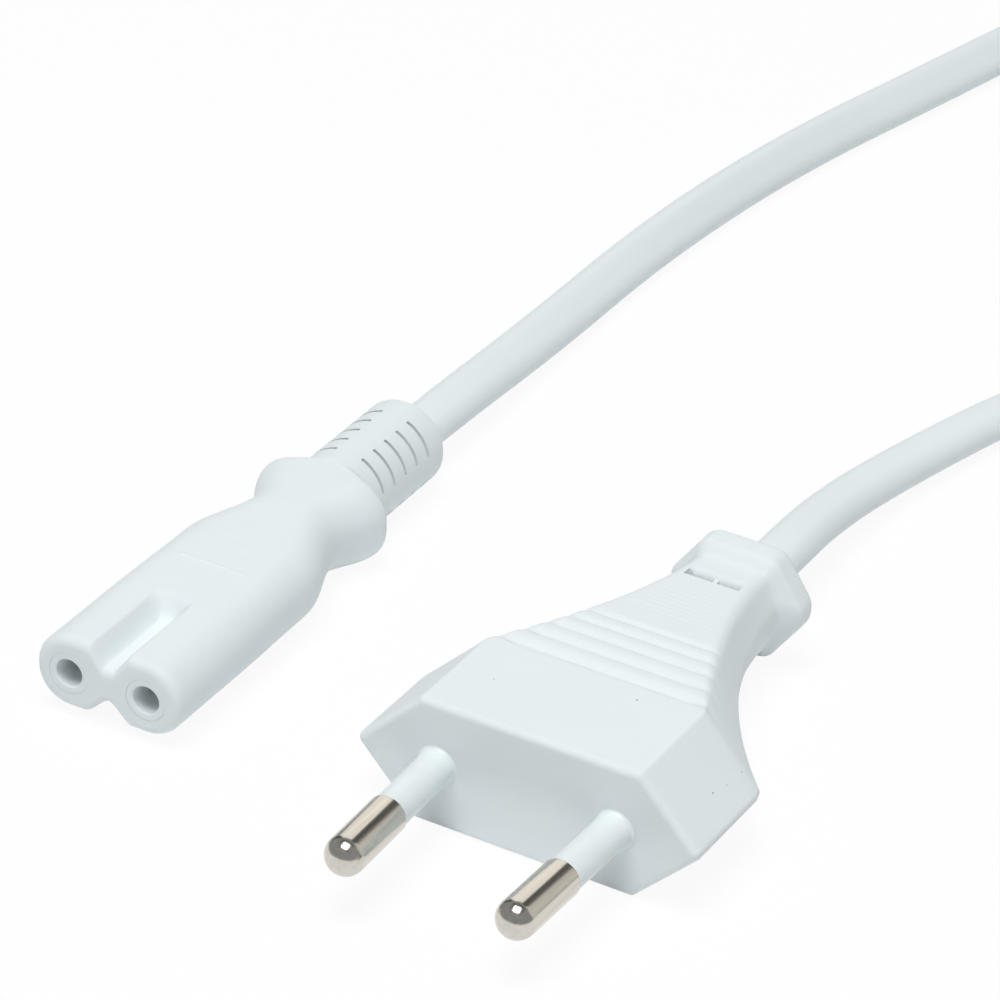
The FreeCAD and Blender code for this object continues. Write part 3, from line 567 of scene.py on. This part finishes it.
def connectorRing(y, inset=0.0, shapeY=None):
    at = y if shapeY is None else shapeY
    wide, high, corner = (cosineTrack(connector[key], at) for key in ("halfWidth", "halfHeight", "corner"))
    corners = [np.array(c) for c in ((wide, high), (-wide, high), (-wide, -high), (wide, -high))]
    if inset:
        corners = insetCorners(corners, inset)
    ring = roundedRing(corners, [max(corner - inset, 0.3)] * 4, 12, [63, 9, 63, 9])
    fade = 1 - smooth(connector["channelLength"] - connector["channelEnd"], connector["channelLength"], at)
    across = np.abs(ring[:, 0])
    if fade > 0:
        curved = smooth(connector["channelFloor"], connector["channelRim"], across)
        past = across - connector["channelFloor"] - connector["channelStep"]
        straight = np.clip(past / connector["channelSlope"], 0, 1)
        channel = 1 - 0.5 * (curved + straight)
        notch = 1 - smooth(0, connector["notchRim"], across)
        depth = np.where(ring[:, 1] > 0, connector["channelDepth"] * channel, connector["notchDepth"] * notch)
        ring[:, 1] -= np.sign(ring[:, 1]) * depth * fade
    offLine = abs(at - connector["lineAt"]) / connector["lineWidth"]
    if offLine < 1:
        lineEnd = connector["lineHalf"]
        onTop = (ring[:, 1] > 0) * (1 - smooth(lineEnd - connector["lineEase"], lineEnd, across))
        ring[:, 1] += connector["lineHeight"] * (1 - offLine ** 2) * onTop
    if connector["gripStart"] < at < connector["gripEnd"]:
        gripSide = connector["gripHalf"]
        wave = math.sin((at - connector["gripStart"]) / connector["gripPitch"] * math.pi) ** 2
        onTop = (ring[:, 1] > 0) * (1 - smooth(gripSide - connector["gripEase"], gripSide, across))
        ring[:, 1] -= connector["gripDepth"] * wave * onTop
    return [(x, y, z) for x, z in ring]


def makeConnectorMoulding():
    roundness = connector["mouthRound"]
    rings = [connectorRing(0, roundness + 0.1)]
    for turn in np.radians(np.linspace(90, 0, 7)):
        inset = roundness * (1 - math.cos(turn))
        rings.append(connectorRing(roundness * (1 - math.sin(turn)), inset, 0))
    back = connector["length"] - connector["reliefEnd"][-1][0]
    lineFront, lineBack = connector["lineAt"] - 0.5, connector["lineAt"] + 0.5
    stations = list(np.arange(1.3, connector["channelLength"] - 2.8, 0.5))
    stations += list(np.arange(connector["channelLength"] - 2.7, connector["channelLength"] + 0.2, 0.15))
    stations += list(np.arange(connector["channelLength"] + 0.5, lineFront - 0.2, 0.4))
    stations += list(np.arange(lineFront, lineBack, 0.08))
    stations += list(np.arange(lineBack + 0.2, connector["reliefAt"] + 0.6, 0.25))
    stations += list(np.arange(connector["reliefAt"] + 1.0, back, 0.8)) + [back]
    rings += [connectorRing(y) for y in stations]
    for reach, inset in connector["reliefEnd"]:
        rings.append(connectorRing(back + reach, inset, back))
    rings.append(connectorRing(connector["length"], inset + 0.3, back))
    return skinRings("connectorMoulding", rings, connectorPlace, 50)


def holePlace(side):
    return connectorPlace @ Matrix.Translation((side * connector["holePitch"] / 2 * mm, 0, 0))


def carrierSeat(side):
    # room for one nose and tube of the carrier
    nose, tube, cover, back = (connector[key] for key in ("nose", "tube", "cover", "carrierBack"))
    front = -connector["seatLead"]
    profile = [(nearAxis, front), (nose, front), (nose, cover), (tube, cover), (tube, back), (nearAxis, back)]
    return lathe("seatCutter", profile, holePlace(side), 64)


# slots of the strain relief, set out by a node tree
reliefSlots = {
    "Slots": 5, "Pitch": 2.3, "Slot width": 0.42, "Slot depth": 1.0, "Relief radius": 4.75,
    "Start": 12.0, "Sweep": 54.0, "First": 44.4,
}


def slotTree():
    tree = bpy.data.node_groups.new("reliefSlotTree", "GeometryNodeTree")
    tree.interface.new_socket("Geometry", in_out="OUTPUT", socket_type="NodeSocketGeometry")
    for name, value in reliefSlots.items():
        kind = "NodeSocketInt" if name == "Slots" else "NodeSocketFloat"
        tree.interface.new_socket(name, in_out="INPUT", socket_type=kind).default_value = value
    tree.interface.new_socket("Material", in_out="INPUT", socket_type="NodeSocketMaterial")
    given = tree.nodes.new("NodeGroupInput").outputs
    result = tree.nodes.new("NodeGroupOutput").inputs
    link = tree.links.new

    def calc(operation, a, b):
        node = addNode(tree, "ShaderNodeMath", operation=operation)
        for socket, value in zip(node.inputs, (a, b)):
            if isinstance(value, (int, float)):
                socket.default_value = value
            else:
                link(value, socket)
        return node.outputs["Value"]

    arc = addNode(tree, "GeometryNodeCurveArc", {"Resolution": 18})
    link(given["Relief radius"], arc.inputs["Radius"])
    link(calc("MULTIPLY", given["Start"], math.pi / 180), arc.inputs["Start Angle"])
    link(calc("MULTIPLY", given["Sweep"], math.pi / 180), arc.inputs["Sweep Angle"])
    profile = addNode(tree, "GeometryNodeCurvePrimitiveQuadrilateral")
    link(calc("MULTIPLY", given["Slot depth"], 2), profile.inputs["Width"])
    link(given["Slot width"], profile.inputs["Height"])
    bar = addNode(tree, "GeometryNodeCurveToMesh", {"Fill Caps": True})
    link(arc.outputs["Curve"], bar.inputs["Curve"])
    link(profile.outputs["Curve"], bar.inputs["Profile Curve"])
    upright = addNode(tree, "GeometryNodeTransform", {"Rotation": (math.pi / 2, 0, 0)})
    link(bar.outputs["Mesh"], upright.inputs["Geometry"])
    step = addNode(tree, "ShaderNodeCombineXYZ")
    link(given["Pitch"], step.inputs["Y"])
    first = addNode(tree, "ShaderNodeCombineXYZ")
    link(given["First"], first.inputs["Y"])
    row = addNode(tree, "GeometryNodeMeshLine", mode="OFFSET")
    link(given["Slots"], row.inputs["Count"])
    link(first.outputs["Vector"], row.inputs["Start Location"])
    link(step.outputs["Vector"], row.inputs["Offset"])
    along = addNode(tree, "GeometryNodeInstanceOnPoints")
    link(row.outputs["Mesh"], along.inputs["Points"])
    link(upright.outputs["Geometry"], along.inputs["Instance"])
    quarters = addNode(tree, "GeometryNodeMeshLine", {"Count": 4, "Offset": (0, 0, 0)}, mode="OFFSET")
    index = addNode(tree, "GeometryNodeInputIndex")
    turn = addNode(tree, "ShaderNodeCombineXYZ")
    link(calc("MULTIPLY", index.outputs["Index"], math.pi / 2), turn.inputs["Y"])
    around = addNode(tree, "GeometryNodeInstanceOnPoints")
    link(quarters.outputs["Mesh"], around.inputs["Points"])
    link(along.outputs["Instances"], around.inputs["Instance"])
    link(turn.outputs["Vector"], around.inputs["Rotation"])
    real = addNode(tree, "GeometryNodeRealizeInstances")
    link(around.outputs["Instances"], real.inputs["Geometry"])
    dressed = addNode(tree, "GeometryNodeSetMaterial")
    link(real.outputs["Geometry"], dressed.inputs["Geometry"])
    link(given["Material"], dressed.inputs["Material"])
    link(dressed.outputs["Geometry"], result["Geometry"])
    return tree


def slotCutters():
    cutter = bpy.data.objects.new("slotCutter", bpy.data.meshes.new("slotCutter"))
    scene.collection.objects.link(cutter)
    nodes = cutter.modifiers.new("slots", "NODES")
    nodes.node_group = slotTree()
    for item in nodes.node_group.interface.items_tree:
        if item.in_out == "INPUT" and item.name in reliefSlots:
            nodes[item.identifier] = reliefSlots[item.name]
        elif item.in_out == "INPUT":
            nodes[item.identifier] = whitePvc
    bakeModifiers(cutter)
    cutter.data.transform(connectorPlace @ Matrix.Scale(mm, 4))
    finishMesh(cutter.data, 40)
    return cutter


connectorMoulding = makeConnectorMoulding()
carve(connectorMoulding, [carrierSeat(-1), carrierSeat(1), slotCutters()], 50)
standFor(connectorMoulding, whitePvc, "white_pvc", "connector_body")
print("connector moulding:", len(connectorMoulding.data.polygons), "faces")

# contact carrier: two tubes with noses that show round the entry holes
carrier = {
    "hole": 1.45, "holeDepth": 4.0, "seat": 1.7, "noseRound": 0.18, "noseEdge": 0.06,
    "webHalf": 1.2, "webOverlap": 0.4, "webRound": 0.15,
}


def makeCarrier():
    nose, tube, cover, back = (connector[key] for key in ("nose", "tube", "cover", "carrierBack"))
    hole, lip, seat, edge = (carrier[key] for key in ("hole", "noseRound", "seat", "noseEdge"))
    profile = [(hole, carrier["holeDepth"]), (hole, lip)]
    profile += arcPoints((hole + lip, lip), lip, 180, 270, 5)
    profile += [(nose - edge, 0), (nose, edge), (nose, cover), (tube, cover), (tube, back)]
    profile += [(seat, back), (seat, carrier["holeDepth"]), profile[0]]
    tubes = [lathe("carrierTube", profile, holePlace(side), 72) for side in (-1, 1)]
    inner = connector["holePitch"] / 2 - tube + carrier["webOverlap"]
    half = carrier["webHalf"]
    corners = [np.array(c) for c in ((inner, half), (-inner, half), (-inner, -half), (inner, -half))]
    outline = roundedRing(corners, [carrier["webRound"]] * 4, 3, [1] * 4)
    rings = [[(x, y, z) for x, z in outline] for y in (cover, back)]
    web = skinRings("carrierWeb", rings, connectorPlace)
    shape = bmesh.new()
    for piece in tubes + [web]:
        shape.from_mesh(piece.data)
    mesh = bpy.data.meshes.new("contactCarrier")
    shape.to_mesh(mesh)
    shape.free()
    for piece in tubes + [web]:
        bpy.data.objects.remove(piece)
    shadeMesh(mesh, 40)
    piece = bpy.data.objects.new("contactCarrier", mesh)
    scene.collection.objects.link(piece)
    return piece


contactCarrier = standFor(makeCarrier(), whitePvc, "carrier_plastic", "contact_carrier")
print("carrier made")

# flat cord: section and coil in mm; lengths and route in metres, from the plug through the coil to the connector
cord = {
    "width": 5.4, "thick": 3.4, "length": 1.8, "step": 1.6, "fineness": 48, "rollLength": 1.79,
    "behind": 4.0, "inside": 21.0,
    "coilX": 36.5, "coilY": 167.5, "coilRadius": 31.3, "coilPitch": 3.42, "turns": 4, "rounds": 7, "perTurn": 16,
    "layer": 5.5, "entry": -60.0, "exit": 90.0, "lift": 0.35, "climb": 0.15, "dip": 0.9,
}
collarBack = plugHigh.y
plugRoute = [
    (0.0, collarBack - 0.016, 0.0067), (0.0, collarBack + 0.004, 0.0067), (-0.0018, 0.0535, 0.0042),
    (-0.0002, 0.0715, 0.0023), (0.0042, 0.0884, 0.0023), (0.0112, 0.1040, 0.0025), (0.0200, 0.1171, 0.0028),
    (0.0352, 0.1259, 0.0030),
]
connectorRoute = [
    (0.0145, 0.2034, 0.0086), (-0.0110, 0.2029, 0.0080), (-0.0316, 0.1810, 0.0032), (-0.0375, 0.1555, 0.0025),
    (-0.0432, 0.1280, 0.0025), (-0.0458, 0.1000, 0.0025), (-0.0454, 0.0720, 0.0025),
]
cordEnds = (cord["behind"], -cord["inside"])  # it comes up behind the relief and ends inside
connectorEnd = [connectorPlace @ Vector((0, (connector["length"] + reach) * mm, 0)) for reach in cordEnds]


def coilPoints():
    # outer turn of the lower layer first, in to the middle, up, and out again
    turns = (cord["exit"] - cord["entry"]) / 360 + cord["rounds"]
    count = int(turns * cord["perTurn"])
    outer = cord["coilRadius"] + (cord["turns"] - 1) / 2 * cord["coilPitch"]
    points = []
    for k in range(count + 1):
        turned = turns * k / count
        past = turned - turns / 2  # turns past the climb from the lower to the upper layer
        radius = outer - (turns / 2 - abs(past)) * cord["coilPitch"]
        radius -= cord["dip"] * smooth(0.5, 0.1, abs(past))  # drawn in at the climb
        height = cord["layer"] * (0.5 + smooth(-cord["climb"], cord["climb"], past)) + cord["lift"]
        angle = math.radians(cord["entry"] + 360 * turned)
        x, y = cord["coilX"] + radius * math.cos(angle), cord["coilY"] + radius * math.sin(angle)
        points.append((x * mm, y * mm, height * mm))
    return points


def smoothLine(points):
    # evenly spaced points along the route's own smooth curve
    curve = bpy.data.curves.new("cordRoute", "CURVE")
    curve.dimensions = "3D"
    curve.resolution_u = cord["fineness"]
    spline = curve.splines.new("NURBS")
    spline.points.add(len(points) - 1)
    for point, place in zip(spline.points, points):
        point.co = (*place, 1)
    spline.order_u = 3
    spline.use_endpoint_u = True
    routeObject = bpy.data.objects.new("cordRoute", curve)
    scene.collection.objects.link(routeObject)
    graph = bpy.context.evaluated_depsgraph_get()
    line = bpy.data.meshes.new_from_object(routeObject.evaluated_get(graph))
    places = np.array([v.co[:] for v in line.vertices])
    bpy.data.objects.remove(routeObject)
    bpy.data.meshes.remove(line)
    along = np.concatenate([[0], np.cumsum(np.linalg.norm(np.diff(places, axis=0), axis=1))])
    even = np.linspace(0, along[-1], int(along[-1] / mm / cord["step"]))
    return np.column_stack([np.interp(even, along, places[:, axis]) for axis in range(3)])


cordRoll = [  # metres along the cord, degrees of roll about it
    (0.0, 0), (0.045, 0), (0.085, 8), (0.15, 90), (1.50, 90),
    (1.60, 40), (1.70, 42), (1.745, 20), (1.78, 0), (1.9, 0),
]


def makeCord():
    route = plugRoute + coilPoints() + connectorRoute + [tuple(p) for p in connectorEnd]
    line = smoothLine(route)
    steps = np.linalg.norm(np.diff(line, axis=0), axis=1)
    along = np.concatenate([[0], np.cumsum(steps)])
    heading = np.gradient(line, axis=0)
    heading /= np.linalg.norm(heading, axis=1)[:, None]
    radius, reach = cord["thick"] / 2 * mm, (cord["width"] - cord["thick"]) / 2 * mm
    section = []
    for side in (1, -1):
        for turn in np.radians(np.linspace(-90, 90, 13)):
            section.append((side * (reach + radius * math.cos(turn)), side * radius * math.sin(turn)))
    stretch = along[-1] / cord["rollLength"]
    rolls = np.radians(np.interp(along / stretch, [s for s, r in cordRoll], [r for s, r in cordRoll]))
    points = []
    for place, forward, roll in zip(line, heading, rolls):
        across = unit(np.cross(forward, (0, 0, 1)))
        up = np.cross(across, forward)
        wide = across * math.cos(roll) + up * math.sin(roll)
        thin = up * math.cos(roll) - across * math.sin(roll)
        points += [place + wide * a + thin * b for a, b in section]
    faces = ringFaces(len(line), len(section)) + endCaps(len(line), len(section))
    piece = meshPiece("flatCord", [p / mm for p in points], faces, sharp=50)
    print("cord length", round(along[-1], 4), "m")
    return piece, line


flatCord, cordLine = makeCord()
standFor(flatCord, cordSheath, "cord_sheath", "cord_plug_run", "cord_coil", "cord_connector_run")

# strap that holds the put-away turns together
tie = {
    "angle": 20.0, "width": 5.0, "thick": 0.3, "slack": 0.04, "corner": 1.4,
    "tab": 9.0, "tabStart": 2.5, "sunk": 0.05, "spread": 12.0, "within": 0.045,
}


def makeTie():
    middle = np.array((cord["coilX"], cord["coilY"])) * mm
    fromMiddle = cordLine[:, :2] - middle
    away = np.linalg.norm(fromMiddle, axis=1)
    turned = np.degrees(np.arctan2(fromMiddle[:, 1], fromMiddle[:, 0]))
    there = (np.abs(turned - tie["angle"]) < tie["spread"]) & (away < tie["within"])  # turns under the strap
    reach, heights = away[there] / mm, cordLine[there][:, 2] / mm
    besides, above = cord["thick"] / 2, cord["width"] / 2  # the cord stands on edge here
    inner, outer = reach.min() - besides - tie["slack"], reach.max() + besides + tie["slack"]
    low, high = heights.min() - above - tie["slack"], heights.max() + above + tie["slack"]
    corners = [np.array(c) for c in ((outer, high), (inner, high), (inner, low), (outer, low))]
    wider = insetCorners(corners, -tie["thick"])
    inside = roundedRing(corners, [tie["corner"]] * 4, 8, [6] * 4)
    outside = roundedRing(wider, [tie["corner"] + tie["thick"]] * 4, 8, [6] * 4)
    half = tie["width"] / 2
    loops = [(inside, -half), (outside, -half), (outside, half), (inside, half)]
    points = [(x, y, z) for ring, y in loops for x, z in ring]
    faces = ringFaces(len(loops), len(inside), closed=True)
    top, start = high + tie["thick"], inner + tie["tabStart"]  # free end, laid back over the top
    ends, levels = (start, start + tie["tab"]), (top - tie["sunk"], top + tie["thick"])
    box = [(x, y, z) for x in ends for y in (-half, half) for z in levels]
    sides = ((0, 1, 3, 2), (4, 6, 7, 5), (0, 4, 5, 1), (2, 3, 7, 6), (0, 2, 6, 4), (1, 5, 7, 3))
    faces += [tuple(len(points) + i for i in side) for side in sides]
    turn = Matrix.Rotation(math.radians(tie["angle"]), 4, "Z")
    return meshPiece("coilTie", points + box, faces, Matrix.Translation((middle[0], middle[1], 0)) @ turn)


coilTie = dress(makeTie(), cordSheath)
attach(coilTie, "root")
print("tie made")

# looks of the sealed pieces
sealedLooks = {
    "pin_bridge": carrierPlastic, "contact_left": rolledBrass, "contact_right": rolledBrass,
    "plug_core_left": coreBrown, "connector_core_left": coreBrown, "plug_core_right": coreBlue,
    "connector_core_right": coreBlue, "plug_strands_left": bareCopper, "plug_strands_right": bareCopper,
    "connector_strands_left": bareCopper, "connector_strands_right": bareCopper,
}
for node, material in sealedLooks.items():
    dress(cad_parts[node], material)

# studio: white floor, even sky, one broad lamp overhead, and cards that only reflections show
studio = {
    "sky": (0.95, 0.98, 1.0), "skyLevel": 0.33, "lampEnergy": 7.0, "lampSize": 0.5, "lampPlace": (0.0, -0.22, 0.95),
    "floorGlow": 0.92, "floorColour": (0.9, 0.91, 0.92), "floorReach": 4.0, "cardWall": 1.2,
    "cardColour": (1, 0.97, 0.92),
}


def makeFloor():
    mesh = bpy.data.meshes.new("floor")
    reach = studio["floorReach"]
    corners = [(-reach, -reach, 0), (reach, -reach, 0), (reach, reach, 0), (-reach, reach, 0)]
    mesh.from_pydata(corners, [], [(0, 1, 2, 3)])
    floor = bpy.data.objects.new("floor", mesh)
    scene.collection.objects.link(floor)
    material = bpy.data.materials.new("floorPaper")
    material.use_nodes = True
    tree = material.node_tree
    tree.nodes.clear()
    output = addNode(tree, "ShaderNodeOutputMaterial")
    paper = addNode(tree, "ShaderNodeBsdfDiffuse", {"Color": (*studio["floorColour"], 1)})
    glow = addNode(tree, "ShaderNodeEmission", {"Color": (1, 1, 1, 1), "Strength": 1.0})
    seen = addNode(tree, "ShaderNodeLightPath")
    both = addNode(tree, "ShaderNodeMath", operation="MAXIMUM")
    tree.links.new(seen.outputs["Is Camera Ray"], both.inputs[0])
    tree.links.new(seen.outputs["Is Glossy Ray"], both.inputs[1])
    share = addNode(tree, "ShaderNodeMath", {1: studio["floorGlow"]}, operation="MULTIPLY")
    tree.links.new(both.outputs["Value"], share.inputs[0])
    blend = addNode(tree, "ShaderNodeMixShader")
    tree.links.new(share.outputs["Value"], blend.inputs["Fac"])
    tree.links.new(paper.outputs["BSDF"], blend.inputs[1])
    tree.links.new(glow.outputs["Emission"], blend.inputs[2])
    tree.links.new(blend.outputs["Shader"], output.inputs["Surface"])
    mesh.materials.append(material)


def makeSky():
    world = bpy.data.worlds.new("studioSky")
    scene.world = world
    world.use_nodes = True
    tree = world.node_tree
    tree.nodes.clear()
    output = addNode(tree, "ShaderNodeOutputWorld")
    even = {"Color": (*studio["sky"], 1), "Strength": studio["skyLevel"]}
    light = addNode(tree, "ShaderNodeBackground", even)
    white = addNode(tree, "ShaderNodeBackground", {"Color": (1, 1, 1, 1), "Strength": 1.0})
    seen = addNode(tree, "ShaderNodeLightPath")
    blend = addNode(tree, "ShaderNodeMixShader")
    tree.links.new(seen.outputs["Is Camera Ray"], blend.inputs["Fac"])
    tree.links.new(light.outputs["Background"], blend.inputs[1])
    tree.links.new(white.outputs["Background"], blend.inputs[2])
    tree.links.new(blend.outputs["Shader"], output.inputs["Surface"])


def makeLamp():
    lamp = bpy.data.lights.new("overhead", "AREA")
    lamp.energy = studio["lampEnergy"]
    lamp.size = studio["lampSize"]
    holder = bpy.data.objects.new("overhead", lamp)
    holder.location = studio["lampPlace"]
    downward = Vector((0, 0, 0)) - Vector(studio["lampPlace"])
    holder.rotation_euler = downward.to_track_quat("-Z", "Y").to_euler()
    scene.collection.objects.link(holder)


def standing(left, right, low, high):
    wall = studio["cardWall"]
    return [(left, wall, low), (right, wall, low), (right, wall, high), (left, wall, high)]


cards = {
    "darkLeft": {"corners": standing(-2.4, -1.3, 0.1, 1.9), "level": 0.12},
    "brightMiddle": {"corners": standing(-1.25, -0.05, 0.2, 1.6), "level": 1.2},
    "darkRight": {"corners": standing(0.0, 0.65, 0.1, 1.9), "level": 0.1},
    "paleRight": {"corners": standing(0.75, 2.6, 0.1, 1.9), "level": 0.75},
    "darkOverhead": {
        "corners": [(-0.8, -1.0, 1.25), (0.8, -1.0, 1.25), (0.8, 0.5, 1.25), (-0.8, 0.5, 1.25)], "level": 0.12},
}


def makeCard(name, card):
    mesh = bpy.data.meshes.new(name)
    mesh.from_pydata(card["corners"], [], [(0, 1, 2, 3)])
    piece = bpy.data.objects.new(name, mesh)
    scene.collection.objects.link(piece)
    material = bpy.data.materials.new(name)
    material.use_nodes = True
    tree = material.node_tree
    tree.nodes.clear()
    output = addNode(tree, "ShaderNodeOutputMaterial")
    shine = {"Color": (*studio["cardColour"], 1), "Strength": card["level"]}
    glow = addNode(tree, "ShaderNodeEmission", shine)
    tree.links.new(glow.outputs["Emission"], output.inputs["Surface"])
    mesh.materials.append(material)
    piece.visible_camera = False
    piece.visible_diffuse = False
    piece.visible_shadow = False
    piece.visible_transmission = False


# camera at the photograph's angle
view = {
    "place": (0.17304, -0.35247, 0.26013), "turn": (59.6915, -3.1608, 29.4693), "lens": 179.757, "sensor": 36.0,
    "clip": 0.01,
}


def makeCamera():
    data = bpy.data.cameras.new("camera")
    data.lens = view["lens"]
    data.sensor_width = view["sensor"]
    data.sensor_fit = "HORIZONTAL"
    data.clip_start = view["clip"]
    camera = bpy.data.objects.new("camera", data)
    camera.location = view["place"]
    camera.rotation_euler = [math.radians(a) for a in view["turn"]]
    scene.collection.objects.link(camera)
    scene.camera = camera


makeFloor()
makeSky()
makeLamp()
for name, card in cards.items():
    makeCard(name, card)
makeCamera()
scene.view_settings.view_transform = "Standard"
print("studio ready")
